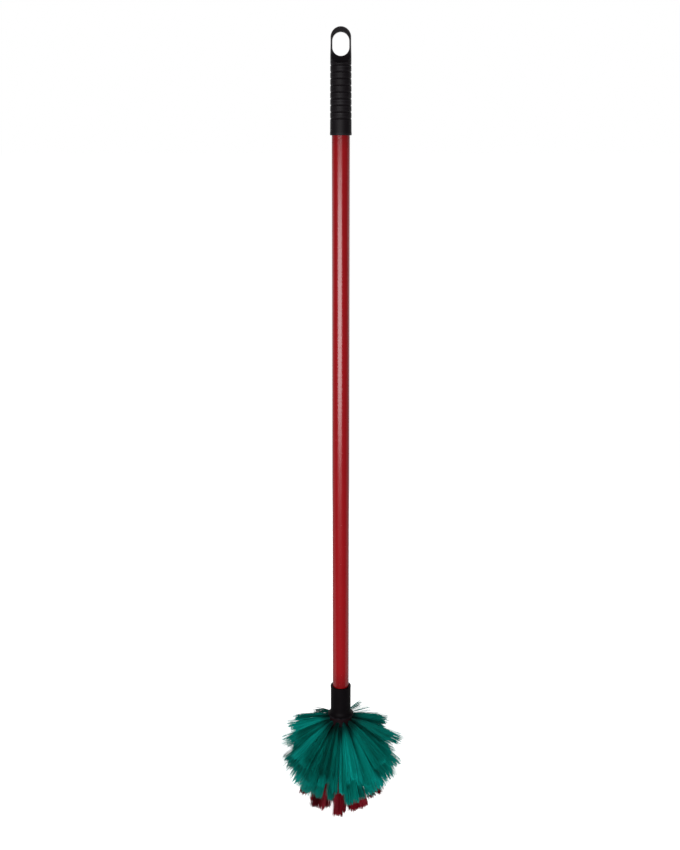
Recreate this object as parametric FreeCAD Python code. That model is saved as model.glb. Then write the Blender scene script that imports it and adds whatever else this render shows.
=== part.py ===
import FreeCAD, Part
import math
import os

# Cobweb brush: a ball of stapled bristle tufts on a screw-on head, at the end of a painted steel pole
# with a ribbed plastic grip that has a hanging eye.
# Millimetres, +Z up along the pole. The origin is where a hook bears in the top of the hanging eye.

Vector = FreeCAD.Vector
ORIGIN = Vector(0, 0, 0)
UP = Vector(0, 0, 1)

# Steel tube of the pole
TUBE_DIAMETER = 22.0
TUBE_WALL = 0.4
TUBE_EXPOSED = 730.6
TUBE_IN_SOCKET = 10.0

# Moulded grip
GRIP_LENGTH = 124.0
GRIP_BRIDGE = 12.5
GRIP_WALL = 1.55
GRIP_FIT = 0.05
GRIP_DRAFT = 0.35
LIP_HEIGHT = 3.6
LIP_STEP = 0.2
LIP_ROUND = 0.8
RING_PITCH = 7.63
RING_WIDTH = 2.4
RING_DEPTH = 0.65
FIRST_RING = 19.3
RINGS_BELOW_EYE = 9.0

# Hanging eye in the flattened top of the grip
EYE_WIDTH = 20.1
EYE_HEIGHT = 27.3
EYE_TOP_WALL = 6.2
EYE_SIDE_WALL = 2.1
EYE_ROUND = 0.7
EYE_ROUND_SHARE = 0.7
LOOP_THICKNESS = 10.0
SCOOP_RISE = 5.3
SCOOP_RADIUS = 16.0
NECK_LENGTH = 14.0

# Threaded plug in the lower end of the tube
PLUG_FIT = 0.05
PLUG_SPIGOT = 30.0
PLUG_WALL = 2.4
PLUG_FLOOR = 3.0
FLANGE_HEIGHT = 2.0
THREAD_STEP = 0.8
THREAD_LENGTH = 18.0
THREAD_CHAMFER = 1.5

# Socket of the brush head
SOCKET_CLEARANCE = 0.3
SOCKET_WALL = 2.45
SOCKET_FLOOR = 3.0
THREAD_SPARE = 2.0
RIM_HEIGHT = 2.4
RIM_STEP = 0.2
RIM_ROUND = 0.6
SKIRT_HEIGHT = 8.0
SKIRT_EDGE = 1.4
SKIRT_LIP = 1.6
SKIRT_LIP_WALL = 1.1
SKIRT_GAP = 0.9

# Hub that carries the tufts
HUB_DIAMETER = 31.0
HUB_STRAIGHT = 18.0
HUB_CHAMFER = 1.0
HUB_SPIGOT_DIAMETER = 20.0
HUB_SPIGOT_HEIGHT = 7.0
HUB_FIT = 0.05

# Tufts, row by row from the top of the hub to its end
ROWS = 5
TEAL_ROWS = 3
FIRST_ROW = 9.0
LAST_ROW = 5.35
HOLE_DIAMETER = 4.2
HOLE_DEPTH = 6.0
HOLE_WEB = 1.2
HOLE_SLOPE_FIRST = 8.0
HOLE_SLOPE_LAST = 76.0
TUFT_FIT = 0.05
TUFT_STAND = 2.5
TUFT_LOBES = 6
TUFT_FLUTE = 0.32
TIP_SPREAD_FIRST = 6.8
TIP_SPREAD_LAST = 9.05
TIP_CROWN = 3.0
TIP_STEPS = 3

# Ball of bristles that the tips reach out to, with its front brushed down
BALL_DIAMETER = 158.0
BALL_DROP = 64.0
TEAL_RISE_FIRST = 27.0
TEAL_RISE_FRONT = -2.0
TEAL_RISE_LAST = -26.0
BURGUNDY_RISE_FIRST = -50.0
BURGUNDY_RISE_LAST = -73.0
SWAY_TURN = 2.5
SWAY_RISE = 2.5
SWAY_REACH = 0.03

# Flat wire staple that holds each tuft down in its hole
STAPLE_THICKNESS = 0.5
STAPLE_WIDTH = 1.8
STAPLE_LIFT = 1.2
STAPLE_FIT = 0.05

# Distance under which a point counts as lying on an outline
NEAR = 0.05

# Heights along the pole, from the grip down to the hub
GRIP_TOP = EYE_TOP_WALL
GRIP_MOUTH = GRIP_TOP - GRIP_LENGTH
SCOOP_START = SCOOP_RISE - EYE_HEIGHT
TUBE_TOP = -EYE_HEIGHT - GRIP_BRIDGE
SOCKET_RIM = GRIP_MOUTH - TUBE_EXPOSED
TUBE_BOTTOM = SOCKET_RIM - TUBE_IN_SOCKET
SHOULDER = TUBE_BOTTOM - FLANGE_HEIGHT
THREAD_TIP = SHOULDER - THREAD_LENGTH
THREAD_BORE_END = THREAD_TIP - THREAD_SPARE
RECESS_TOP = THREAD_BORE_END - SOCKET_FLOOR
HUB_SEAT = RECESS_TOP - HUB_SPIGOT_HEIGHT
SKIRT_BOTTOM = HUB_SEAT - SKIRT_LIP
DOME_CENTRE = HUB_SEAT - HUB_STRAIGHT
BALL_CENTRE = HUB_SEAT - BALL_DROP

TUBE_RADIUS = TUBE_DIAMETER / 2
THREAD_RADIUS = TUBE_RADIUS - THREAD_STEP
HUB_RADIUS = HUB_DIAMETER / 2
HOLE_RADIUS = HOLE_DIAMETER / 2
SKIRT_RADIUS = HUB_RADIUS + SKIRT_GAP + SKIRT_LIP_WALL
BALL_RADIUS = BALL_DIAMETER / 2


def on_profile(radius, z):
    return Vector(radius, 0, z)


def turned(start, *steps):
    """Solid of revolution about Z. A step is an end point (radius, z), or two points for an arc."""
    here = on_profile(*start)
    edges = []
    for step in steps + (start,):
        if isinstance(step[0], tuple):
            middle, end = (on_profile(*point) for point in step)
            edges.append(Part.Arc(here, middle, end).toShape())
        else:
            end = on_profile(*step)
            edges.append(Part.LineSegment(here, end).toShape())
        here = end
    return Part.Face(Part.Wire(edges)).revolve(ORIGIN, UP, 360)


def rounded_corner(centre_radius, centre_z, size, angle_from, angle_to):
    """Arc step about a centre, between two angles in degrees from the outward direction."""
    points = []
    for angle in ((angle_from + angle_to) / 2, angle_to):
        turn = math.radians(angle)
        points.append((centre_radius + size * math.cos(turn), centre_z + size * math.sin(turn)))
    return tuple(points)


def tangent_flare(radius, top, end_radius, low):
    """Arc step that leaves a straight wall at its top end and sweeps out to a wider radius below."""
    out = end_radius - radius
    drop = top - low
    size = (out ** 2 + drop ** 2) / (2 * out)
    sweep = math.degrees(math.atan2(drop, size - out))
    return rounded_corner(radius + size, top, size, 180, 180 + sweep)


def make_pole_tube():
    inner = TUBE_RADIUS - TUBE_WALL
    return turned(
        (inner, TUBE_BOTTOM),
        (TUBE_RADIUS, TUBE_BOTTOM),
        (TUBE_RADIUS, TUBE_TOP),
        (inner, TUBE_TOP),
    )


def grip_radius(z):
    """Radius of the ribbed part of the grip, with its moulding draft towards the mouth."""
    along = (z - GRIP_MOUTH) / (TUBE_TOP - GRIP_MOUTH)
    return TUBE_RADIUS + GRIP_FIT + GRIP_WALL + GRIP_DRAFT * (1 - along)


def ring_grooves():
    """Profile points of the V grooves, from the mouth upwards, as many as fit below the eye."""
    room = -EYE_HEIGHT - RINGS_BELOW_EYE - GRIP_MOUTH - FIRST_RING
    points = []
    for ring in range(1 + int(room / RING_PITCH)):
        z = GRIP_MOUTH + FIRST_RING + ring * RING_PITCH
        for offset, depth in ((-RING_WIDTH / 2, 0), (0, RING_DEPTH), (RING_WIDTH / 2, 0)):
            points.append((grip_radius(z + offset) - depth, z + offset))
    return points


def loop_scoop():
    """One of the two cuts that flatten the grip around its eye, running out in a hollow curve."""
    half = LOOP_THICKNESS / 2
    beyond_side = half + SCOOP_RADIUS + TUBE_DIAMETER
    beyond_top = GRIP_TOP + EYE_TOP_WALL
    curve = rounded_corner(half + SCOOP_RADIUS, SCOOP_START, SCOOP_RADIUS, 180, 270)
    middle, run_out = (Vector(0, y, z) for y, z in curve)
    corner = Vector(0, half, SCOOP_START)
    flat_top = Vector(0, half, beyond_top)
    outer_top = Vector(0, beyond_side, beyond_top)
    outer_low = Vector(0, beyond_side, run_out.z)
    edges = [
        Part.Arc(corner, middle, run_out).toShape(),
        Part.makePolygon([run_out, outer_low, outer_top, flat_top, corner]),
    ]
    wide = EYE_WIDTH + TUBE_DIAMETER
    scoop = Part.Face(Part.Wire(edges)).extrude(Vector(2 * wide, 0, 0))
    scoop.translate(Vector(-wide, 0, 0))
    return scoop


def eye_cutter():
    """Long round-ended hole through the grip, front to back."""
    radius = EYE_WIDTH / 2
    high = -radius
    low = radius - EYE_HEIGHT
    edges = [
        Part.Arc(Vector(radius, 0, high), Vector(0, 0, 0), Vector(-radius, 0, high)).toShape(),
        Part.LineSegment(Vector(-radius, 0, high), Vector(-radius, 0, low)).toShape(),
        Part.Arc(Vector(-radius, 0, low), Vector(0, 0, -EYE_HEIGHT), Vector(radius, 0, low)).toShape(),
        Part.LineSegment(Vector(radius, 0, low), Vector(radius, 0, high)).toShape(),
    ]
    through = 2 * (TUBE_DIAMETER + LOOP_THICKNESS)
    cutter = Part.Face(Part.Wire(edges)).extrude(Vector(0, through, 0))
    cutter.translate(Vector(0, -through / 2, 0))
    return cutter


def eye_edges(grip):
    """Edges of the eye on the grip's front and back."""
    radius = EYE_WIDTH / 2
    centre_low = radius - EYE_HEIGHT
    found = []
    for edge in grip.Edges:
        middle = edge.valueAt((edge.FirstParameter + edge.LastParameter) / 2)
        nearest = min(max(middle.z, centre_low), -radius)
        on_outline = abs(math.hypot(middle.x, middle.z - nearest) - radius) < NEAR
        if on_outline and abs(middle.y) > LOOP_THICKNESS / 2 - NEAR:
            found.append(edge)
    return found


def make_grip():
    bore = TUBE_RADIUS + GRIP_FIT
    lip = grip_radius(GRIP_MOUTH) + LIP_STEP
    lip_top = GRIP_MOUTH + LIP_HEIGHT
    loop = EYE_WIDTH / 2 + EYE_SIDE_WALL
    neck = -EYE_HEIGHT
    grip = turned(
        (bore, GRIP_MOUTH),
        (lip - LIP_ROUND, GRIP_MOUTH),
        rounded_corner(lip - LIP_ROUND, GRIP_MOUTH + LIP_ROUND, LIP_ROUND, -90, 0),
        (lip, lip_top),
        (grip_radius(lip_top), lip_top),
        *ring_grooves(),
        (grip_radius(neck), neck),
        (loop, neck + NECK_LENGTH),
        (loop, GRIP_TOP - loop),
        rounded_corner(0, GRIP_TOP - loop, loop, 0, 90),
        (0, TUBE_TOP),
        (bore, TUBE_TOP),
    )
    scoop = loop_scoop()
    grip = grip.cut([scoop, scoop.mirror(ORIGIN, Vector(0, 1, 0)), eye_cutter()])
    flat_beside_eye = math.sqrt(loop ** 2 - (LOOP_THICKNESS / 2) ** 2) - EYE_WIDTH / 2
    return grip.makeFillet(min(EYE_ROUND, EYE_ROUND_SHARE * flat_beside_eye), eye_edges(grip))


def make_threaded_end():
    spigot = TUBE_RADIUS - TUBE_WALL - PLUG_FIT
    core = THREAD_RADIUS - PLUG_WALL
    return turned(
        (0, THREAD_TIP),
        (THREAD_RADIUS - THREAD_CHAMFER, THREAD_TIP),
        (THREAD_RADIUS, THREAD_TIP + THREAD_CHAMFER),
        (THREAD_RADIUS, SHOULDER),
        (TUBE_RADIUS, SHOULDER),
        (TUBE_RADIUS, TUBE_BOTTOM),
        (spigot, TUBE_BOTTOM),
        (spigot, TUBE_BOTTOM + PLUG_SPIGOT),
        (core, TUBE_BOTTOM + PLUG_SPIGOT),
        (core, THREAD_TIP + PLUG_FLOOR),
        (0, THREAD_TIP + PLUG_FLOOR),
    )


def make_socket():
    mouth = TUBE_RADIUS + SOCKET_CLEARANCE
    thread = THREAD_RADIUS + SOCKET_CLEARANCE
    recess = HUB_SPIGOT_DIAMETER / 2 + HUB_FIT
    wall = mouth + SOCKET_WALL
    rim = wall + RIM_STEP
    flare_top = SKIRT_BOTTOM + SKIRT_HEIGHT
    return turned(
        (mouth, SHOULDER),
        (mouth, SOCKET_RIM),
        (rim - RIM_ROUND, SOCKET_RIM),
        rounded_corner(rim - RIM_ROUND, SOCKET_RIM - RIM_ROUND, RIM_ROUND, 90, 0),
        (rim, SOCKET_RIM - RIM_HEIGHT),
        (wall, SOCKET_RIM - RIM_HEIGHT),
        (wall, flare_top),
        tangent_flare(wall, flare_top, SKIRT_RADIUS, SKIRT_BOTTOM + SKIRT_EDGE),
        (SKIRT_RADIUS, SKIRT_BOTTOM),
        (SKIRT_RADIUS - SKIRT_LIP_WALL, SKIRT_BOTTOM),
        (SKIRT_RADIUS - SKIRT_LIP_WALL, HUB_SEAT),
        (recess, HUB_SEAT),
        (recess, RECESS_TOP),
        (0, RECESS_TOP),
        (0, THREAD_BORE_END),
        (thread, THREAD_BORE_END),
        (thread, SHOULDER),
    )


def between(first, last, row, rows=ROWS):
    """Value of a row, spaced evenly from the first row's to the last row's."""
    return first + (last - first) * row / (rows - 1)


def hub_point(row):
    """Radius and height where a row of holes opens on the hub, measured along its outline."""
    outline_end = HUB_STRAIGHT + HUB_RADIUS * math.pi / 2
    along = between(FIRST_ROW, outline_end - LAST_ROW, row)
    round_the_dome = max(0.0, along - HUB_STRAIGHT) / HUB_RADIUS
    radius = HUB_RADIUS * math.cos(round_the_dome)
    z = HUB_SEAT - min(along, HUB_STRAIGHT) - HUB_RADIUS * math.sin(round_the_dome)
    return radius, z


def hole_slope(row):
    return math.radians(between(HOLE_SLOPE_FIRST, HOLE_SLOPE_LAST, row))


def row_count(row):
    """As many holes as leave a sound web between their floors."""
    floor_radius = hub_point(row)[0] - HOLE_DEPTH * math.cos(hole_slope(row))
    return int(2 * math.pi * floor_radius / (HOLE_DIAMETER + HOLE_WEB))


def tip_rise(row, turn):
    """Latitude of a tip on the ball, in degrees. The upper teal rows hang lower towards the front."""
    if row >= TEAL_ROWS:
        return between(BURGUNDY_RISE_FIRST, BURGUNDY_RISE_LAST, row - TEAL_ROWS, ROWS - TEAL_ROWS)
    towards_front = max(0.0, -math.sin(turn))
    first = TEAL_RISE_FIRST + (TEAL_RISE_FRONT - TEAL_RISE_FIRST) * towards_front
    return between(first, TEAL_RISE_LAST, row, TEAL_ROWS)


def sway(number):
    """Even spread of values from -1 to 1, so that no two tufts lean alike."""
    golden = (math.sqrt(5) - 1) / 2
    return 2 * (number * golden % 1) - 1


class Tuft:
    """Place of one tuft: its hole in the hub and the bent line from there to its tip."""

    def __init__(self, row, number, order):
        self.name = f"{'teal' if row < TEAL_ROWS else 'burgundy'}_tuft_row{row + 1}_{number + 1:02d}"
        stagger = 0.5 if row % 2 == 0 else 0.0
        turn = 2 * math.pi * (number + stagger) / row_count(row) - math.pi / 2
        slope = hole_slope(row)
        radius, z = hub_point(row)
        outward = Vector(math.cos(turn), math.sin(turn), 0)
        self.axis = outward * math.cos(slope) - UP * math.sin(slope)
        self.across = UP.cross(outward)
        self.mouth = outward * radius + UP * z
        self.floor = self.mouth - self.axis * HOLE_DEPTH
        self.root = self.mouth + self.axis * TUFT_STAND
        rise = math.radians(tip_rise(row, turn) + SWAY_RISE * sway(2 * order))
        tip_turn = turn + math.radians(SWAY_TURN * sway(3 * order))
        reach = BALL_RADIUS * (1 + SWAY_REACH * sway(5 * order))
        level = reach * math.cos(rise)
        height = BALL_CENTRE + reach * math.sin(rise)
        self.tip = Vector(level * math.cos(tip_turn), level * math.sin(tip_turn), height)
        self.tip_radius = BALL_RADIUS * math.radians(between(TIP_SPREAD_FIRST, TIP_SPREAD_LAST, row))
        chord = self.tip - self.root
        self.bend = self.root + self.axis * (chord.dot(chord) / (2 * chord.dot(self.axis)))

    def point(self, share):
        rest = 1 - share
        return self.root * rest ** 2 + self.bend * (2 * rest * share) + self.tip * share ** 2

    def direction(self, share):
        heading = (self.bend - self.root) * (1 - share) + (self.tip - self.bend) * share
        return heading.normalize()


def fluted_section(centre, heading, across, radius, flute):
    """Corners of a section square to the heading, drawn in between its lobes."""
    side = (across - heading * across.dot(heading)).normalize()
    other = heading.cross(side)
    corners = []
    for corner in range(2 * TUFT_LOBES):
        turn = math.pi * corner / TUFT_LOBES
        size = radius * (1 - flute * (corner % 2))
        corners.append(centre + side * (size * math.cos(turn)) + other * (size * math.sin(turn)))
    return corners


def flat_facet(*corners):
    return Part.Face(Part.makePolygon(list(corners) + [corners[0]]))


def faceted_loft(sections, crown):
    """Closed solid through sections of equal corner count, with a crowned far end."""
    count = len(sections[0])
    facets = [flat_facet(*reversed(sections[0]))]
    for near, far in zip(sections, sections[1:]):
        for corner in range(count):
            after = (corner + 1) % count
            facets.append(flat_facet(near[corner], near[after], far[corner]))
            facets.append(flat_facet(near[after], far[after], far[corner]))
    for corner in range(count):
        facets.append(flat_facet(sections[-1][corner], sections[-1][(corner + 1) % count], crown))
    return Part.makeSolid(Part.makeShell(facets))


def wire_block(tuft, length, width, thickness):
    """Straight piece of flat wire across a tuft's hole, near its floor."""
    block = Part.makeBox(length, thickness, width, Vector(-length / 2, -thickness / 2, -width / 2))
    side = tuft.axis.cross(tuft.across)
    centre = tuft.floor + tuft.axis * (STAPLE_LIFT + STAPLE_WIDTH / 2)
    turned_to_hole = FreeCAD.Matrix(
        tuft.across.x, side.x, tuft.axis.x, centre.x,
        tuft.across.y, side.y, tuft.axis.y, centre.y,
        tuft.across.z, side.z, tuft.axis.z, centre.z,
        0, 0, 0, 1,
    )
    return block.transformGeometry(turned_to_hole)


def make_tuft(tuft):
    root_radius = HOLE_RADIUS - TUFT_FIT
    sections = [
        fluted_section(tuft.floor, tuft.axis, tuft.across, root_radius, 0),
        fluted_section(tuft.root, tuft.axis, tuft.across, root_radius, 0),
    ]
    for step in range(1, TIP_STEPS + 1):
        share = step / TIP_STEPS
        radius = root_radius + share * (tuft.tip_radius - root_radius)
        heading = tuft.direction(share)
        sections.append(fluted_section(tuft.point(share), heading, tuft.across, radius, TUFT_FLUTE * share))
    bundle = faceted_loft(sections, tuft.tip + tuft.direction(1) * TIP_CROWN)
    slot = wire_block(tuft, HOLE_DIAMETER, STAPLE_WIDTH + 2 * STAPLE_FIT, STAPLE_THICKNESS + 2 * STAPLE_FIT)
    return bundle.cut(slot)


def make_staple(tuft):
    half_chord = math.sqrt((HOLE_RADIUS - STAPLE_FIT) ** 2 - (STAPLE_THICKNESS / 2) ** 2)
    return wire_block(tuft, 2 * half_chord, STAPLE_WIDTH, STAPLE_THICKNESS)


def make_tuft_hub(tufts):
    spigot = HUB_SPIGOT_DIAMETER / 2
    hub = turned(
        (0, DOME_CENTRE - HUB_RADIUS),
        rounded_corner(0, DOME_CENTRE, HUB_RADIUS, -90, 0),
        (HUB_RADIUS, HUB_SEAT - HUB_CHAMFER),
        (HUB_RADIUS - HUB_CHAMFER, HUB_SEAT),
        (spigot, HUB_SEAT),
        (spigot, RECESS_TOP),
        (0, RECESS_TOP),
    )
    length = HOLE_DEPTH + HUB_RADIUS
    return hub.cut([Part.makeCylinder(HOLE_RADIUS, length, tuft.floor, tuft.axis) for tuft in tufts])


def all_tufts():
    tufts = []
    for row in range(ROWS):
        for number in range(row_count(row)):
            tufts.append(Tuft(row, number, len(tufts)))
    return tufts


def main():
    tufts = all_tufts()
    nodes = {
        "pole_tube": make_pole_tube(),
        "grip": make_grip(),
        "threaded_end": make_threaded_end(),
        "socket": make_socket(),
        "tuft_hub": make_tuft_hub(tufts),
        "tuft_staples": Part.makeCompound([make_staple(tuft) for tuft in tufts]),
    }
    for tuft in tufts:
        nodes[tuft.name] = make_tuft(tuft)
    os.makedirs("parts", exist_ok=True)
    for name, shape in nodes.items():
        shape.exportStep(f"parts/{name}.step")


main()
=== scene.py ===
"""Looks of a long-handled cobweb brush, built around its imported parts. Metres, +Z up along the pole."""
import math

import bmesh
import bpy
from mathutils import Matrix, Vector


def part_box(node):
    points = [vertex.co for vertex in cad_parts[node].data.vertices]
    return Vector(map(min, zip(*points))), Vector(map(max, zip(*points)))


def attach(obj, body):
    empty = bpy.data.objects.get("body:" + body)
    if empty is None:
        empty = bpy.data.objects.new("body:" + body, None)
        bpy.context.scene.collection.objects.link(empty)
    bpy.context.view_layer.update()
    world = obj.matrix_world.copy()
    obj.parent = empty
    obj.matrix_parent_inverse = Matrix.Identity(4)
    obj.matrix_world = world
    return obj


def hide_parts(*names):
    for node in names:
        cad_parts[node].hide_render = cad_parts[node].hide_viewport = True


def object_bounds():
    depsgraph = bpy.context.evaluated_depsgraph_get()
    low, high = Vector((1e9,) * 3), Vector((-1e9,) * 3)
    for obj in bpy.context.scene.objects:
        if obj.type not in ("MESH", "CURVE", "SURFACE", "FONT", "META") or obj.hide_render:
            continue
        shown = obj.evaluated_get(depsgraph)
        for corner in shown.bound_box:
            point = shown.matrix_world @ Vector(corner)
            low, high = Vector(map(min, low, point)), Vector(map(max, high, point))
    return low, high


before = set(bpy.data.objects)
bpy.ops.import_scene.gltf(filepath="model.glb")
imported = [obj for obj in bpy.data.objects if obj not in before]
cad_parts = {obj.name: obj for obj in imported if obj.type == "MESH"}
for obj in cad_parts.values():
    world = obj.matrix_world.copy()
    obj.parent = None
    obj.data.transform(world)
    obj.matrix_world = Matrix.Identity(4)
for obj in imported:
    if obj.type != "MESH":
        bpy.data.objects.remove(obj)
cad_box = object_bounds()

MM = 0.001
SEED = 7
BAKE_UV = "OFBake"
GOLDEN_ANGLE = math.pi * (3 - math.sqrt(5))

# Camera of the picture
FOCAL_PX = 1094.0
LONG_SIDE_PX = 850
SENSOR_MM = 36.0
CAMERA_PLACE = (-0.001, -1.363, -0.1178)
CAMERA_DIP_DEG = 14.83

# Studio: a white sweep behind the object and a dimmer room in front of it
FLOOR_GAP = 60 * MM
FLOOR_FRONT = -0.2
FLOOR_BACK = 60.0
FLOOR_HALF_WIDTH = 40.0
FLOOR_COLOUR = (0.86, 0.86, 0.86)
FLOOR_GLOW = 0.78
FLOOR_WHITE_FROM = 0.5
FLOOR_WHITE_TO = 3.0
SKY_WHITE_FROM = 0.45
SKY_WHITE_TO = 0.95
FILL_LEVEL = 0.27
MIRRORED_DIM = 0.65
LAMP_SIZE = (1.4, 0.68)
WINDOW_PLACE = (-0.33, -1.5, -0.57)
WINDOW_POWER = 21.0
BACK_PLACE = (0.45, 1.5, -0.4)
BACK_POWER = 13.0

# Red paint on the tube
PAINT_ROUGHNESS = 0.22
PAINT_GLOSS = 0.62
PEEL_SIZE = 1.6 * MM
PEEL_HEIGHT = 0.0004 * MM
CLOUD_SIZE = 45 * MM
RUB_WIDTH = 0.9 * MM
RUB_SHORTENING = 0.03
SPECK_SIZE = 2.6 * MM
SPECK_DEPTH = 0.004 * MM
# reach above the socket of the duller paint and of the painted shade
SOCKET_SCUFF_AND_SHADE = 26 * MM
GRIP_SCUFF = 20 * MM

# Moulded black plastic of the grip and the socket
GRAIN_SIZE = 0.55 * MM
GRAIN_HEIGHT = 0.035 * MM
FLOW_SIZE = 14 * MM
SEAM_FOOT = 0.32 * MM
SEAM_CREST = 0.12 * MM
SEAM_HEIGHT = 0.06 * MM
MOULDED_ROUGHNESS = 0.46
GRIP_GLOSS = 0.22
SOCKET_GLOSS = 0.06
HAND_PATCH = 9 * MM
LIP_WEAR_FROM = 3.8 * MM
LIP_WEAR_TO = 1.5 * MM
SKIRT_PATCH = 5 * MM
SKIRT_WEAR_FROM = 2.4 * MM
SKIRT_WEAR_TO = 0.8 * MM

# Grip rings, as they are moulded
RING_PITCH = 7.63 * MM
FIRST_RING = 19.3 * MM
RING_WIDTH = 2.4 * MM
EYE_HEIGHT = 27.3 * MM

# Coarser plastic of the hub, plastic of the screw nose, and staple wire
HUB_ROUGHNESS = 0.55
HUB_GRAIN = 0.8 * MM
HUB_GRAIN_HEIGHT = 0.05 * MM
HUB_CLOUD = 6 * MM
HUB_GLOSS = 0.1
NOSE_ROUGHNESS = 0.4
NOSE_GRAIN = 0.7 * MM
NOSE_GRAIN_HEIGHT = 0.02 * MM
CREST_WEAR_FROM = 9.6 * MM
CREST_WEAR_TO = 10.2 * MM
WIRE_ROUGHNESS = 0.28
DRAWING_LINE = 0.4 * MM

# Bristle plastic: streaks across and along the map, and how far they change a strand's tone
STREAKS_ACROSS = 90
STREAKS_ALONG = 0.8
STREAK_STRENGTH = 0.7
BRISTLE_ROUGHNESS = 0.42
BRISTLE_GLOSS = 0.06

# Screw nose of the threaded end
THREAD_PITCH = 4.4 * MM
THREAD_DEPTH = 1.3 * MM
THREAD_STEP = 0.8 * MM
THREAD_CORE_WALL = 2.4 * MM
THREAD_CHAMFER = 0.7 * MM
THREAD_SLOPE = 2.1
THREAD_ROOT_FLAT = 0.55
THREAD_RUN_OUT = 1.6
NOSE_FLOOR = 3 * MM
NOSE_STEPS = 84
NOSE_TURNS = 72
NOSE_SHARP_DEG = 40
FLANGE_HEIGHT = 2 * MM
FLANGE_CHAMFER = 0.2 * MM
SPIGOT_LENGTH = 30 * MM
SPIGOT_STEP = 0.45 * MM
SPIGOT_CHAMFER = 0.5 * MM

# Corners of each section of a tuft's solid
SECTION_CORNERS = 12

# Guide lines of the tufts, which start inside the hub's holes
ROOT_RADIUS = 1.95 * MM
SUNK_ROOT = 6 * MM
GUIDE_POINTS = 7
FLARE = 1.3
STRAIGHTNESS = 0.85
LOOSE_FRONT = 0.5
LOOSE_SIDE = 1.6
TOP_SHAPE = {"opening": 1.3, "side_opening": 0.9, "length": 0.99, "ragged": 0.1}
TEAL_SHAPE = {"opening": 1.3, "side_opening": 1.2, "length": 1.0, "ragged": 0.07}
BURGUNDY_SHAPE = {"opening": 1.3, "side_opening": 0.1, "length": 1.045, "ragged": 0.03}

# Share of its length that a tuft has lost if it points straight to the left
LEFT_WEAR = 0.05

# Sag of the tufts that rise, and of those in the top row that hang by another amount
TOP_SAG = 6 * MM
SAGGING_TUFTS = {
    "teal_tuft_row1_03": 8 * MM,
    "teal_tuft_row1_04": 5 * MM,
    "teal_tuft_row1_07": 11 * MM,
    "teal_tuft_row1_08": 11 * MM,
}

# Strands of a whole tuft, and the share of them that is left on worn tufts of the top row
STRANDS_PER_TUFT = 450
WORN_TUFTS = {"teal_tuft_row1_05": 0.14, "teal_tuft_row1_06": 0.06, "teal_tuft_row1_07": 0.4}

# Bundles: a tuft falls into parts, a part into locks and a lock into single strands
BUNDLE_SIZES = {"Strand radius": 0.2 * MM, "Frizz": 2.1 * MM, "Parts": 3, "Locks": 18, "Lean": 5 * MM}
PART_PLACE = 0.53
LOCK_PLACE = 0.25
STRAND_PLACE = 1 - PART_PLACE - LOCK_PLACE
LOCK_LEAN = 0.4
STRAND_SIDES = 3
THINNEST = 0.8
THICKEST = 1.2
STRAY_FROM = 0.93
STRAY_SPREAD = 0.5
STRAY_FRIZZ = 4
WANDER_FIELD = 90.0
WANDER_BENDS = 1.9
SHORT_FROM = 0.86
SHORTENING = 0.35
PART_END = 0.06
LOCK_END = 0.04
PART_TONE = 0.5
LOCK_TONE = 0.32
STRAND_TONE = 0.15
COLUMN_WIDTH = 0.006
COLUMN_HEIGHT = 0.98

# Random draws of the bundles, each with its own seed, and the most locks that a tuft may have
DRAWS = (
    "lock", "turn", "distance", "stray", "wander_x", "wander_y", "short", "part_end", "end",
    "lock_tone", "tone", "thickness", "part_lean_x", "part_lean_y", "lock_lean_x", "lock_lean_y",
    "lock_end", "part_tone",
)
MOST_LOCKS = 64


class Wire:
    """An output of a node. Arithmetic on it adds Math nodes to the same tree."""

    def __init__(self, graph, socket):
        self.graph = graph
        self.socket = socket

    def other(self, name):
        """Another output of the same node."""
        return Wire(self.graph, open_socket(self.socket.node.outputs, name))

    def __add__(self, value):
        return self.graph.math("ADD", self, value)

    def __radd__(self, value):
        return self.graph.math("ADD", value, self)

    def __sub__(self, value):
        return self.graph.math("SUBTRACT", self, value)

    def __rsub__(self, value):
        return self.graph.math("SUBTRACT", value, self)

    def __mul__(self, value):
        return self.graph.math("MULTIPLY", self, value)

    def __rmul__(self, value):
        return self.graph.math("MULTIPLY", value, self)

    def __truediv__(self, value):
        return self.graph.math("DIVIDE", self, value)

    def __abs__(self):
        return self.graph.math("ABSOLUTE", self)

    def rise(self, low, high):
        """Smooth step from 0 at low to 1 at high."""
        limits = {"Value": self, "From Min": low, "From Max": high}
        return self.graph.add("ShaderNodeMapRange", {"interpolation_type": "SMOOTHSTEP"}, limits)


def open_socket(sockets, key):
    """Socket by its place, or by its name among those that the node's settings leave open."""
    if isinstance(key, int):
        return sockets[key]
    return next(socket for socket in sockets if socket.name == key and socket.enabled)


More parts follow.
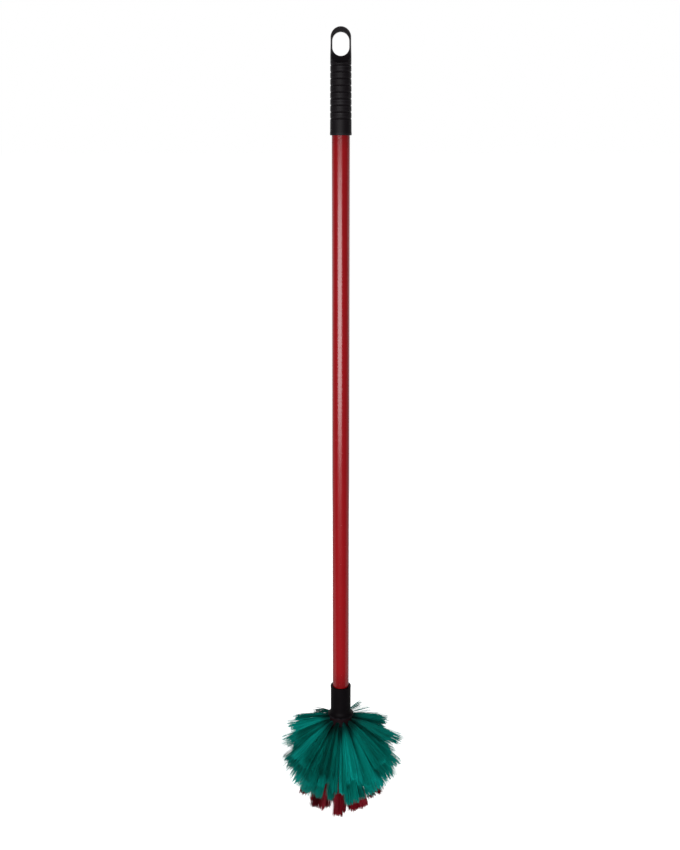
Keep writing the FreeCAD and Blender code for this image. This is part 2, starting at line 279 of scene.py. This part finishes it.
class Graph:
    """A node tree that is filled in by code."""

    def __init__(self, tree):
        self.tree = tree
        tree.nodes.clear()

    def add(self, kind, settings=None, inputs=None):
        """Adds a node, makes its settings, feeds its sockets and returns its first open output."""
        node = self.tree.nodes.new(kind)
        for name, value in (settings or {}).items():
            setattr(node, name, value)
        for key, value in (inputs or {}).items():
            socket = open_socket(node.inputs, key)
            if isinstance(value, Wire):
                self.tree.links.new(value.socket, socket)
            else:
                socket.default_value = value
        outputs = [socket for socket in node.outputs if socket.enabled]
        return Wire(self, outputs[0]) if outputs else node

    def math(self, operation, *values):
        return self.add("ShaderNodeMath", {"operation": operation}, dict(enumerate(values)))

    def vector(self, operation, *values):
        return self.add("ShaderNodeVectorMath", {"operation": operation}, dict(enumerate(values)))

    def scaled(self, vector, factor):
        return self.add("ShaderNodeVectorMath", {"operation": "SCALE"}, {0: vector, "Scale": factor})

    def joined(self, x, y, z):
        return self.add("ShaderNodeCombineXYZ", None, {0: x, 1: y, 2: z})

    def split(self, vector):
        first = self.add("ShaderNodeSeparateXYZ", None, {0: vector})
        return first, first.other("Y"), first.other("Z")

    def noise(self, place, size, detail=2.0, roughness=0.5):
        """Noise from 0 to 1 whose features have the given size in metres."""
        inputs = {"Vector": place, "Scale": 1 / size, "Detail": detail, "Roughness": roughness}
        return self.add("ShaderNodeTexNoise", None, inputs)

    def mix(self, factor, first, second):
        inputs = {"Factor": factor, "A": first, "B": second}
        return self.add("ShaderNodeMix", {"data_type": "RGBA"}, inputs)


class Finish(Graph):
    """A material with one Principled surface."""

    def __init__(self, name):
        self.material = bpy.data.materials.new(name)
        self.material.use_nodes = True
        super().__init__(self.material.node_tree)

    def place(self):
        return self.add("ShaderNodeTexCoord").other("Object")

    def relief(self, height):
        """Normal of a surface whose height is given in metres."""
        return self.add("ShaderNodeBump", None, {"Strength": 1.0, "Distance": 1.0, "Height": height})

    def surface(self, inputs):
        shader = self.add("ShaderNodeBsdfPrincipled", None, inputs)
        self.add("ShaderNodeOutputMaterial", None, {"Surface": shader})
        return self.material


def rgb(red, green, blue):
    """Colour of a socket from display values of 0 to 255."""
    linear = []
    for level in (red / 255, green / 255, blue / 255):
        linear.append(level / 12.92 if level <= 0.04045 else ((level + 0.055) / 1.055) ** 2.4)
    return (*linear, 1.0)


def red_paint(rim, mouth):
    """Gloss paint on drawn tube: orange peel, lengthwise rubs, chalky specks, scuffs near both ends, darker
    paint near the grip, and painted shade darkening it towards the socket.
    """
    deep = rgb(147, 3, 12)
    full = rgb(157, 5, 16)
    chalky = rgb(180, 50, 54)
    dark_end_red = rgb(84, 3, 8)
    paint = Finish("red_paint")
    place = paint.place()
    x, y, z = paint.split(place)
    lengthwise = paint.joined(x, y, z * RUB_SHORTENING)
    peel = paint.noise(place, PEEL_SIZE, detail=1.0)
    cloud = paint.noise(place, CLOUD_SIZE)
    rub = paint.noise(lengthwise, RUB_WIDTH, detail=3.0).rise(0.56, 0.72)
    speck = paint.noise(place, SPECK_SIZE, detail=1.0).rise(0.74, 0.79)
    near_socket = (z - rim).rise(SOCKET_SCUFF_AND_SHADE, 0.0)
    near_grip = (mouth - z).rise(GRIP_SCUFF, 0.0)
    dull = rub * 0.35 + (near_socket + near_grip) * 0.3 * cloud
    tint = paint.mix(cloud, deep, full)
    tint = paint.mix(rub * 0.06 + speck * 0.3, tint, chalky)
    # Painted shade darkens the red towards the socket's rim; near the grip the same darker red is mixed in
    # more weakly.
    tint = paint.mix(near_socket * 0.45 + near_grip * 0.3, tint, dark_end_red)
    return paint.surface({
        "Base Color": tint,
        "Roughness": PAINT_ROUGHNESS + dull * 0.06 + speck * 0.2,
        "Specular IOR Level": PAINT_GLOSS,
        "Normal": paint.relief(peel * PEEL_HEIGHT - speck * SPECK_DEPTH),
    })


def moulded_plastic(plastic, place, rubbed, dark, pale, gloss):
    """Black moulded plastic: fine grain, flow marks, a parting line on both sides, polished where rubbed."""
    polished = rgb(46, 43, 48)
    _, y, _ = plastic.split(place)
    grain = plastic.noise(place, GRAIN_SIZE)
    flow = plastic.noise(place, FLOW_SIZE, detail=3.0)
    seam = abs(y).rise(SEAM_FOOT, SEAM_CREST)
    tint = plastic.mix(flow, dark, pale)
    tint = plastic.mix(rubbed * 0.45, tint, polished)
    return plastic.surface({
        "Base Color": tint,
        "Roughness": MOULDED_ROUGHNESS + flow * 0.12 - rubbed * 0.12 + (grain - 0.5) * 0.1,
        "Specular IOR Level": gloss,
        "Normal": plastic.relief(grain * GRAIN_HEIGHT + seam * SEAM_HEIGHT),
    })


def grip_plastic(mouth):
    """Grip plastic, polished by hands on the lands beside its ring grooves and at its lip."""
    plastic = Finish("black_grip_plastic")
    place = plastic.place()
    _, _, z = plastic.split(place)
    above_mouth = z - mouth
    step = (above_mouth - FIRST_RING) / RING_PITCH
    from_groove = abs(step - plastic.math("ROUND", step)) * RING_PITCH
    ringed = above_mouth.rise(FIRST_RING - RING_PITCH, FIRST_RING)
    ringed = ringed * z.rise(-EYE_HEIGHT, -EYE_HEIGHT - RING_PITCH)
    land = from_groove.rise(RING_WIDTH / 2, RING_WIDTH * 0.75)
    land = land * from_groove.rise(RING_WIDTH * 1.3, RING_WIDTH * 0.8)
    hand = plastic.noise(place, HAND_PATCH).rise(0.35, 0.7)
    rubbed = ringed * land * hand + above_mouth.rise(LIP_WEAR_FROM, LIP_WEAR_TO) * 0.5
    return moulded_plastic(plastic, place, rubbed, rgb(13, 8, 12), rgb(21, 15, 20), GRIP_GLOSS)


def socket_plastic(low):
    """Socket plastic, rubbed grey along the lower edge of its skirt."""
    plastic = Finish("black_socket_plastic")
    place = plastic.place()
    _, _, z = plastic.split(place)
    patch = plastic.noise(place, SKIRT_PATCH).rise(0.3, 0.65)
    rubbed = (z - low).rise(SKIRT_WEAR_FROM, SKIRT_WEAR_TO) * patch
    return moulded_plastic(plastic, place, rubbed, rgb(9, 6, 8), rgb(16, 12, 15), SOCKET_GLOSS)


def hub_plastic():
    """Coarser dark plastic of the hub, with a maroon cast."""
    plastic = Finish("dark_hub_plastic")
    place = plastic.place()
    grain = plastic.noise(place, HUB_GRAIN, detail=3.0)
    cloud = plastic.noise(place, HUB_CLOUD)
    return plastic.surface({
        "Base Color": plastic.mix(cloud, rgb(14, 8, 10), rgb(34, 12, 18)),
        "Roughness": HUB_ROUGHNESS + grain * 0.15,
        "Specular IOR Level": HUB_GLOSS,
        "Normal": plastic.relief(grain * HUB_GRAIN_HEIGHT),
    })


def thread_plastic():
    """Slightly waxy black plastic of the screw nose, greyed on its crests."""
    plastic = Finish("black_thread_plastic")
    place = plastic.place()
    x, y, _ = plastic.split(place)
    radius = plastic.math("SQRT", x * x + y * y)
    crest = radius.rise(CREST_WEAR_FROM, CREST_WEAR_TO)
    grain = plastic.noise(place, NOSE_GRAIN)
    return plastic.surface({
        "Base Color": plastic.mix(crest * grain, rgb(24, 24, 26), rgb(74, 73, 75)),
        "Roughness": NOSE_ROUGHNESS + grain * 0.12,
        "Normal": plastic.relief(grain * NOSE_GRAIN_HEIGHT),
    })


def staple_wire():
    """Flat steel wire with drawing lines."""
    steel = Finish("staple_wire")
    line = steel.noise(steel.place(), DRAWING_LINE, detail=3.0)
    return steel.surface({
        "Base Color": steel.mix(line, rgb(168, 166, 160), rgb(205, 204, 200)),
        "Metallic": 1.0,
        "Roughness": WIRE_ROUGHNESS + line * 0.2,
    })


def bristle(name, shade, body, bright, tip):
    """Bristle plastic. Across its map lie the tones of the strands, and up it the way from root to tip, along
    which shade is painted in towards the roots.
    """
    # near-black of the shade painted next to the hub
    root = rgb(8, 10, 10)
    plastic = Finish(name)
    across, along, _ = plastic.split(plastic.add("ShaderNodeUVMap", {"uv_map": BAKE_UV}))
    streaks = plastic.joined(across * STREAKS_ACROSS, along * STREAKS_ALONG, 0.0)
    streak = plastic.noise(streaks, 1.0, roughness=0.7)
    tone = across + (streak - 0.5) * STREAK_STRENGTH
    tint = plastic.mix(tone.rise(0.12, 0.52), shade, body)
    tint = plastic.mix(tone.rise(0.5, 0.92), tint, bright)
    tint = plastic.mix(along.rise(0.82, 1.0) * 0.25, tint, tip)
    # Painted shade: the strands darken towards their roots, first to the shade colour and then to near black
    # by the hub.
    tint = plastic.mix(along.rise(0.5, 0.1) * 0.5, tint, shade)
    tint = plastic.mix(along.rise(0.3, 0.1) * 0.75, tint, root)
    return plastic.surface({
        "Base Color": tint,
        "Roughness": BRISTLE_ROUGHNESS + streak * 0.2,
        "Specular IOR Level": BRISTLE_GLOSS,
    })


def teal_bristle():
    return bristle("teal_strands", rgb(0, 74, 65), rgb(0, 145, 132), rgb(18, 194, 184), rgb(0, 158, 152))


def burgundy_bristle():
    return bristle("burgundy_strands", rgb(62, 0, 8), rgb(116, 6, 20), rgb(172, 52, 66), rgb(136, 18, 34))


def seed_of(draw):
    return SEED + 1 + DRAWS.index(draw)


class Strands(Graph):
    """Geometry tree that grows a bundle of bristles along each guide line.

    A strand draws its lock, and the locks fall into the tuft's parts. Place, lean, length and tone are shared
    in part by a lock and in part by the locks of a part.
    """

    def __init__(self, name, material):
        super().__init__(bpy.data.node_groups.new(name, "GeometryNodeTree"))
        self.inputs = {}
        self.interface("Geometry", "INPUT", "NodeSocketGeometry")
        for size in BUNDLE_SIZES:
            self.inputs[size] = self.interface(size, "INPUT", "NodeSocketFloat")
        self.interface("Geometry", "OUTPUT", "NodeSocketGeometry")
        self.start = self.add("NodeGroupInput")
        self.along = self.add("GeometryNodeSplineParameter")
        self.lock = self.math("FLOOR", self.draw("lock") * self.start.other("Locks"))
        self.part = self.math("MODULO", self.lock, self.start.other("Parts"))
        self.stray = self.draw("stray").rise(STRAY_FROM, 1.0)
        solid = self.mapped(self.swept(self.cut(self.fanned(self.copied()))))
        solid = self.add("GeometryNodeRealizeInstances", None, {"Geometry": solid})
        solid = self.add("GeometryNodeSetMaterial", None, {"Geometry": solid, "Material": material})
        self.add("NodeGroupOutput", None, {"Geometry": solid})

    def interface(self, name, direction, kind):
        return self.tree.interface.new_socket(name, in_out=direction, socket_type=kind).identifier

    def attribute(self, name, kind="FLOAT"):
        return self.add("GeometryNodeInputNamedAttribute", {"data_type": kind}, {"Name": name})

    def store(self, geometry, name, value, domain="POINT", kind="FLOAT"):
        settings = {"data_type": kind, "domain": domain}
        inputs = {"Geometry": geometry, "Name": name, "Value": value}
        return self.add("GeometryNodeStoreNamedAttribute", settings, inputs)

    def draw(self, name, low=0.0, high=1.0):
        """Random value of each strand, the same all along it."""
        inputs = {"Min": low, "Max": high, "Seed": seed_of(name)}
        drawn = self.add("FunctionNodeRandomValue", {"data_type": "FLOAT"}, inputs)
        settings = {"domain": "CURVE", "data_type": "FLOAT"}
        return self.add("GeometryNodeFieldOnDomain", settings, {"Value": drawn})

    def shared_draw(self, number, name):
        """Random value of each part or lock, from its number and its tuft's."""
        inputs = {"ID": number + self.attribute("tuft") * MOST_LOCKS, "Seed": seed_of(name)}
        return self.add("FunctionNodeRandomValue", {"data_type": "FLOAT"}, inputs)

    def disc(self, angle, radius):
        return self.math("COSINE", angle) * radius, self.math("SINE", angle) * radius

    def copied(self):
        """As many copies of each guide line as its tuft has strands."""
        lines = self.add("GeometryNodeMeshToCurve", None, {"Mesh": self.start})
        inputs = {"Geometry": lines, "Amount": self.attribute("strands")}
        return self.add("GeometryNodeDuplicateElements", {"domain": "SPLINE"}, inputs)

    def fanned(self, strands):
        """Moves each strand to its place in its lock, its part and the bundle."""
        turn = self.part * (2 * math.pi) / self.start.other("Parts") + self.attribute("tuft") * GOLDEN_ANGLE
        part_x, part_y = self.disc(turn, PART_PLACE)
        distance = self.math("SQRT", (self.lock + 0.5) / self.start.other("Locks")) * LOCK_PLACE
        lock_x, lock_y = self.disc(self.lock * GOLDEN_ANGLE, distance)
        distance = self.math("SQRT", self.draw("distance")) * STRAND_PLACE * self.attribute("loose")
        own_x, own_y = self.disc(self.draw("turn", 0.0, 2 * math.pi), distance)
        spread = self.attribute("reach") * (1 + self.stray * self.along * STRAY_SPREAD)
        side = self.attribute("side", "FLOAT_VECTOR")
        other = self.vector("CROSS_PRODUCT", self.add("GeometryNodeInputTangent"), side)
        offset = self.vector(
            "ADD",
            self.scaled(side, (part_x + lock_x + own_x) * spread + self.lean("part_lean_x", "lock_lean_x")),
            self.scaled(other, (part_y + lock_y + own_y) * spread + self.lean("part_lean_y", "lock_lean_y")))
        offset = self.vector("ADD", offset, self.wander())
        return self.add("GeometryNodeSetPosition", None, {"Geometry": strands, "Offset": offset})

    def lean(self, part_draw, lock_draw):
        """How far a lock leans to one side, for the most part with the other locks of its part."""
        share = self.shared_draw(self.part, part_draw) - 0.5
        share = share + (self.shared_draw(self.lock, lock_draw) - 0.5) * LOCK_LEAN
        return share * (self.start.other("Lean") * self.along * self.along)

    def wander(self):
        """Waver of each strand, which grows towards its tip and is largest on the strays."""
        x = self.draw("wander_x", 0.0, WANDER_FIELD)
        y = self.draw("wander_y", 0.0, WANDER_FIELD)
        waver = self.noise(self.joined(x, y, self.along * WANDER_BENDS), 1.0, detail=1.0)
        waver = self.vector("SUBTRACT", waver.other("Color"), (0.5, 0.5, 0.5))
        frizz = self.start.other("Frizz") * (self.along * self.along) * (1 + self.stray * STRAY_FRIZZ)
        return self.scaled(waver, frizz * 2)

    def cut(self, strands):
        """Cuts the strands to length, after each has been given its tone and its way from root to tip."""
        tone = self.shared_draw(self.part, "part_tone") * PART_TONE
        tone = tone + self.shared_draw(self.lock, "lock_tone") * LOCK_TONE
        strands = self.store(strands, "tone", tone + self.draw("tone") * STRAND_TONE)
        strands = self.store(strands, "way", self.along)
        end = 1 - self.shared_draw(self.part, "part_end") * PART_END
        end = end - self.shared_draw(self.lock, "lock_end") * LOCK_END
        end = end - self.draw("end") * self.attribute("ragged")
        end = end - self.draw("short").rise(SHORT_FROM, 1.0) * SHORTENING
        return self.add("GeometryNodeTrimCurve", {"mode": "FACTOR"}, {"Curve": strands, "End": end})

    def swept(self, strands):
        """Solid strands, closed at both ends."""
        thickness = self.start.other("Strand radius") * self.draw("thickness", THINNEST, THICKEST)
        circle = {"Resolution": STRAND_SIDES, "Radius": 1.0}
        profile = self.add("GeometryNodeCurvePrimitiveCircle", None, circle)
        profile = self.store(profile, "face", self.add("GeometryNodeSplineParameter"))
        inputs = {"Curve": strands, "Profile Curve": profile, "Scale": thickness, "Fill Caps": True}
        return self.add("GeometryNodeCurveToMesh", None, inputs)

    def mapped(self, solid):
        """Gives every face a small area of its own strand's column of the map.

        The end faces are the only triangles. One corner of each is lifted, so that they have an area too.
        """
        face = self.attribute("face")
        triangle = self.math("LESS_THAN", self.add("GeometryNodeInputMeshFaceNeighbors"), 3.5)
        second_corner = self.math("COMPARE", face, 1 / STRAND_SIDES, 0.1)
        across = self.attribute("tone") + face * COLUMN_WIDTH
        along = self.attribute("way") * COLUMN_HEIGHT + triangle * second_corner * COLUMN_WIDTH
        solid = self.store(solid, BAKE_UV, self.joined(across, along, 0.0), "CORNER", "FLOAT2")
        for name in ("face", "tone", "way", "reach", "side", "loose", "tuft", "strands", "ragged"):
            solid = self.add("GeometryNodeRemoveAttribute", None, {"Geometry": solid, "Name": name})
        return solid


def mean(points):
    return sum(points, Vector()) / len(points)


def tuft_line(node):
    """Root, bend, tip and tip radius of a tuft, read from the sections of its solid.

    From its crown inwards, the solid has a section at the tip, at two thirds of its line, at one third and at
    the root. The line is a quadratic curve, so its bend follows from its point at one third.
    """
    low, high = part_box("tuft_hub")
    middle = (low + high) / 2
    corners = [Vector(place) for place in {tuple(vertex.co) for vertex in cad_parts[node].data.vertices}]
    corners.sort(key=lambda corner: (corner - middle).length)
    tip_end = len(corners) - SECTION_CORNERS - 1
    third_end = tip_end - 2 * SECTION_CORNERS
    tip = mean(corners[tip_end:])
    third = mean(corners[third_end:third_end + SECTION_CORNERS])
    root = mean(corners[third_end - SECTION_CORNERS:third_end])
    bend = (9 * third - 4 * root - tip) / 4
    return root, bend, tip, max((corner - tip).length for corner in corners[tip_end:])


def guide_mesh(name, nodes, opening, side_opening, length, ragged):
    """One line per tuft, from inside its hole to its tip, with the bundle's size and looseness along it."""
    guide = bmesh.new()
    layers = guide.verts.layers
    reach = layers.float.new("reach")
    tuft = layers.float.new("tuft")
    loose = layers.float.new("loose")
    uneven = layers.float.new("ragged")
    strands = layers.int.new("strands")
    side = layers.float_vector.new("side")
    for node in nodes:
        number = int("".join(letter for letter in node if letter.isdigit()))
        root, bend, tip, tip_radius = tuft_line(node)
        across = Vector((0, 0, 1)).cross(bend).normalized()
        start = root - (bend - root).normalized() * SUNK_ROOT
        bend = bend.lerp(root, STRAIGHTNESS)
        tip.z -= SAGGING_TUFTS.get(node, TOP_SAG if tip.z > root.z else 0)
        tip = root + (tip - root) * (length - LEFT_WEAR * max(0, -tip.x / tip.xy.length))
        sideways = abs(tip.x) / tip.xy.length
        wide = tip_radius * (opening + side_opening * sideways)
        tip_loose = LOOSE_FRONT + (LOOSE_SIDE - LOOSE_FRONT) * sideways
        before = None
        for step in range(GUIDE_POINTS):
            share = step / (GUIDE_POINTS - 1)
            rest = 1 - share
            here = guide.verts.new(start * rest ** 2 + bend * (2 * rest * share) + tip * share ** 2)
            heading = ((bend - start) * rest + (tip - bend) * share).normalized()
            here[side] = (across - heading * across.dot(heading)).normalized()
            here[reach] = ROOT_RADIUS + (wide - ROOT_RADIUS) * share ** FLARE
            here[loose] = 1 + (tip_loose - 1) * share
            here[uneven] = ragged
            here[tuft] = number
            here[strands] = round(STRANDS_PER_TUFT * WORN_TUFTS.get(node, 1))
            if before:
                guide.edges.new((before, here))
            before = here
    mesh = bpy.data.meshes.new(name)
    guide.to_mesh(mesh)
    guide.free()
    return mesh


def add_object(name, data):
    made = bpy.data.objects.new(name, data)
    bpy.context.scene.collection.objects.link(made)
    return made


def make_bristles(name, nodes, material, slot, shape):
    """All the bristles of one row of tufts, as one mesh that stands for the row's solids."""
    grower = add_object(name + "_guides", guide_mesh(name + "_guides", nodes, **shape))
    tree = Strands(name, material)
    growth = grower.modifiers.new("growth", "NODES")
    growth.node_group = tree.tree
    for size, value in BUNDLE_SIZES.items():
        growth[tree.inputs[size]] = float(value)
    grown = grower.evaluated_get(bpy.context.evaluated_depsgraph_get())
    mesh = bpy.data.meshes.new_from_object(grown)
    bpy.data.objects.remove(grower)
    mesh.name = name
    row = add_object(name, mesh)
    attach(row, "head")
    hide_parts(*nodes)


def make_ball():
    """The bristles of all the rows, teal above and burgundy below."""
    teal = teal_bristle()
    burgundy = burgundy_bristle()
    rows = {}
    for node in sorted(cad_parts):
        if "_tuft_row" in node:
            rows.setdefault(node.rsplit("_", 1)[0], []).append(node)
    for row, nodes in rows.items():
        if row.startswith("teal"):
            looks = (teal, "teal_bristle", TOP_SHAPE if row.endswith("row1") else TEAL_SHAPE)
        else:
            looks = (burgundy, "burgundy_bristle", BURGUNDY_SHAPE)
        make_bristles(row.replace("tuft", "bristles"), nodes, *looks)


def lathe_rings(mesh, profile):
    """Rings of vertices about Z with faces between them, from pairs of a radius, by angle, and a height."""
    rings = []
    for radius, z in profile:
        ring = []
        for turn in range(NOSE_TURNS):
            angle = 2 * math.pi * turn / NOSE_TURNS
            here = radius(angle)
            ring.append(mesh.verts.new((here * math.cos(angle), here * math.sin(angle), z)))
        rings.append(ring)
    for low, high in zip(rings, rings[1:]):
        for turn in range(NOSE_TURNS):
            after = (turn + 1) % NOSE_TURNS
            mesh.faces.new((low[turn], low[after], high[after], high[turn]))
    return rings


def within_one(value):
    return min(1.0, max(0.0, value))


def thread_radius(z, tip, shoulder, crest):
    """Radius round the screw nose at one height: a rounded thread that runs out at both ends."""
    start = within_one((z - tip) / THREAD_PITCH)
    finish = within_one((shoulder - z) / THREAD_PITCH)
    full = min(start * THREAD_RUN_OUT, finish * THREAD_RUN_OUT, 1.0)

    def radius(angle):
        phase = (z / THREAD_PITCH - angle / (2 * math.pi)) % 1
        wave = within_one(THREAD_SLOPE * abs(2 * phase - 1) - THREAD_ROOT_FLAT)
        wave = wave * wave * (3 - 2 * wave)
        return crest - THREAD_DEPTH * (1 - wave * full)

    return radius


def plain(radius):
    """A radius that is the same all round."""
    return lambda angle: radius


def threaded_end_profile():
    """Profile of the plug, from the tip of its screw nose over flange and spigot to the floor of its core."""
    low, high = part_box("threaded_end")
    flange = high.x
    crest = flange - THREAD_STEP
    spigot = flange - SPIGOT_STEP
    core = crest - THREAD_CORE_WALL
    tube_end = high.z - SPIGOT_LENGTH
    shoulder = tube_end - FLANGE_HEIGHT
    nose = low.z + THREAD_CHAMFER
    profile = [(plain(crest - THREAD_DEPTH - THREAD_CHAMFER), low.z)]
    for step in range(NOSE_STEPS + 1):
        z = nose + (shoulder - nose) * step / NOSE_STEPS
        profile.append((thread_radius(z, low.z, shoulder, crest), z))
    profile += [
        (plain(flange - FLANGE_CHAMFER), shoulder),
        (plain(flange), shoulder + FLANGE_CHAMFER),
        (plain(flange), tube_end),
        (plain(spigot), tube_end),
        (plain(spigot), high.z - SPIGOT_CHAMFER),
        (plain(spigot - SPIGOT_CHAMFER), high.z),
        (plain(core), high.z),
        (plain(core), low.z + NOSE_FLOOR),
    ]
    return profile


def make_threaded_end(material):
    """Plug with a screw nose, flange and hollow spigot."""
    plug = bmesh.new()
    rings = lathe_rings(plug, threaded_end_profile())
    plug.faces.new(list(reversed(rings[0])))
    plug.faces.new(rings[-1])
    bmesh.ops.recalc_face_normals(plug, faces=plug.faces)
    mesh = bpy.data.meshes.new("threaded_end_screw")
    plug.to_mesh(mesh)
    plug.free()
    mesh.shade_smooth()
    mesh.set_sharp_from_angle(angle=math.radians(NOSE_SHARP_DEG))
    mesh.materials.append(material)
    screw = add_object("threaded_end_screw", mesh)
    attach(screw, "pole")
    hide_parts("threaded_end")


def dress(node, material):
    """Gives a CAD node its finish."""
    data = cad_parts[node].data
    data.materials.clear()
    data.materials.append(material)


def dress_rigid_pieces():
    grip_low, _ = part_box("grip")
    socket_low, socket_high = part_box("socket")
    dress("pole_tube", red_paint(socket_high.z, grip_low.z))
    dress("grip", grip_plastic(grip_low.z))
    dress("socket", socket_plastic(socket_low.z))
    dress("tuft_hub", hub_plastic())
    dress("tuft_staples", staple_wire())


def make_camera():
    camera = bpy.data.cameras.new("camera")
    camera.sensor_width = SENSOR_MM
    camera.lens = FOCAL_PX * SENSOR_MM / LONG_SIDE_PX
    view = add_object("camera", camera)
    view.location = CAMERA_PLACE
    view.rotation_euler = (math.radians(90 - CAMERA_DIP_DEG), 0, 0)
    bpy.context.scene.camera = view


def seen_white(graph, behind):
    """1 for rays from the camera, and for reflections and glass that show what lies behind the object."""
    path = graph.add("ShaderNodeLightPath")
    mirrored = path.other("Is Glossy Ray") + path.other("Is Transmission Ray")
    return graph.math("MINIMUM", path + mirrored * behind, 1.0)


def make_world():
    """White behind the object, to the camera and in reflections, and a plain fill, dimmer in gloss."""
    world = bpy.data.worlds.new("studio")
    world.use_nodes = True
    graph = Graph(world.node_tree)
    _, behind, _ = graph.split(graph.add("ShaderNodeTexCoord"))
    seen = seen_white(graph, behind.rise(SKY_WHITE_FROM, SKY_WHITE_TO))
    mirrored = graph.add("ShaderNodeLightPath").other("Is Glossy Ray")
    level = graph.math("MAXIMUM", seen, FILL_LEVEL * (1 - mirrored * MIRRORED_DIM))
    light = graph.add("ShaderNodeBackground", None, {"Color": (1, 1, 1, 1), "Strength": level})
    graph.add("ShaderNodeOutputWorld", None, {"Surface": light})
    bpy.context.scene.world = world


def make_floor():
    """Pale floor, far enough below the brush for its head to be unscrewed."""
    wide = FLOOR_HALF_WIDTH
    z = min(cad_box[0].z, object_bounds()[0].z) - FLOOR_GAP
    corners = [(-wide, FLOOR_FRONT, z), (wide, FLOOR_FRONT, z), (wide, FLOOR_BACK, z), (-wide, FLOOR_BACK, z)]
    mesh = bpy.data.meshes.new("floor")
    mesh.from_pydata(corners, [], [(0, 1, 2, 3)])
    floor = add_object("floor", mesh)
    material = bpy.data.materials.new("floor")
    material.use_nodes = True
    graph = Graph(material.node_tree)
    pale = graph.add("ShaderNodeBsdfDiffuse", None, {"Color": (*FLOOR_COLOUR, 1)})
    _, behind, _ = graph.split(graph.add("ShaderNodeTexCoord").other("Object"))
    seen = seen_white(graph, behind.rise(FLOOR_WHITE_FROM, FLOOR_WHITE_TO))
    glow = graph.add("ShaderNodeEmission", None, {"Strength": seen * FLOOR_GLOW})
    both = graph.add("ShaderNodeAddShader", None, {0: pale, 1: glow})
    graph.add("ShaderNodeOutputMaterial", None, {"Surface": both})
    mesh.materials.append(material)


def make_lamp(name, place, power, mirrored):
    """Soft rectangular lamp that faces the pole. Gloss shows it only if it is mirrored."""
    light = bpy.data.lights.new(name, "AREA")
    light.shape = "RECTANGLE"
    light.size, light.size_y = LAMP_SIZE
    light.energy = power
    lamp = add_object(name, light)
    lamp.location = place
    aim = Vector((0, 0, place[2])) - Vector(place)
    lamp.rotation_euler = aim.to_track_quat("-Z", "Y").to_euler()
    lamp.visible_camera = False
    lamp.visible_glossy = mirrored


bpy.context.scene.view_settings.view_transform = "Standard"
make_camera()
make_world()
make_lamp("window", WINDOW_PLACE, WINDOW_POWER, mirrored=True)
make_lamp("back_fill", BACK_PLACE, BACK_POWER, mirrored=False)

dress_rigid_pieces()
make_threaded_end(thread_plastic())
make_ball()
make_floor()
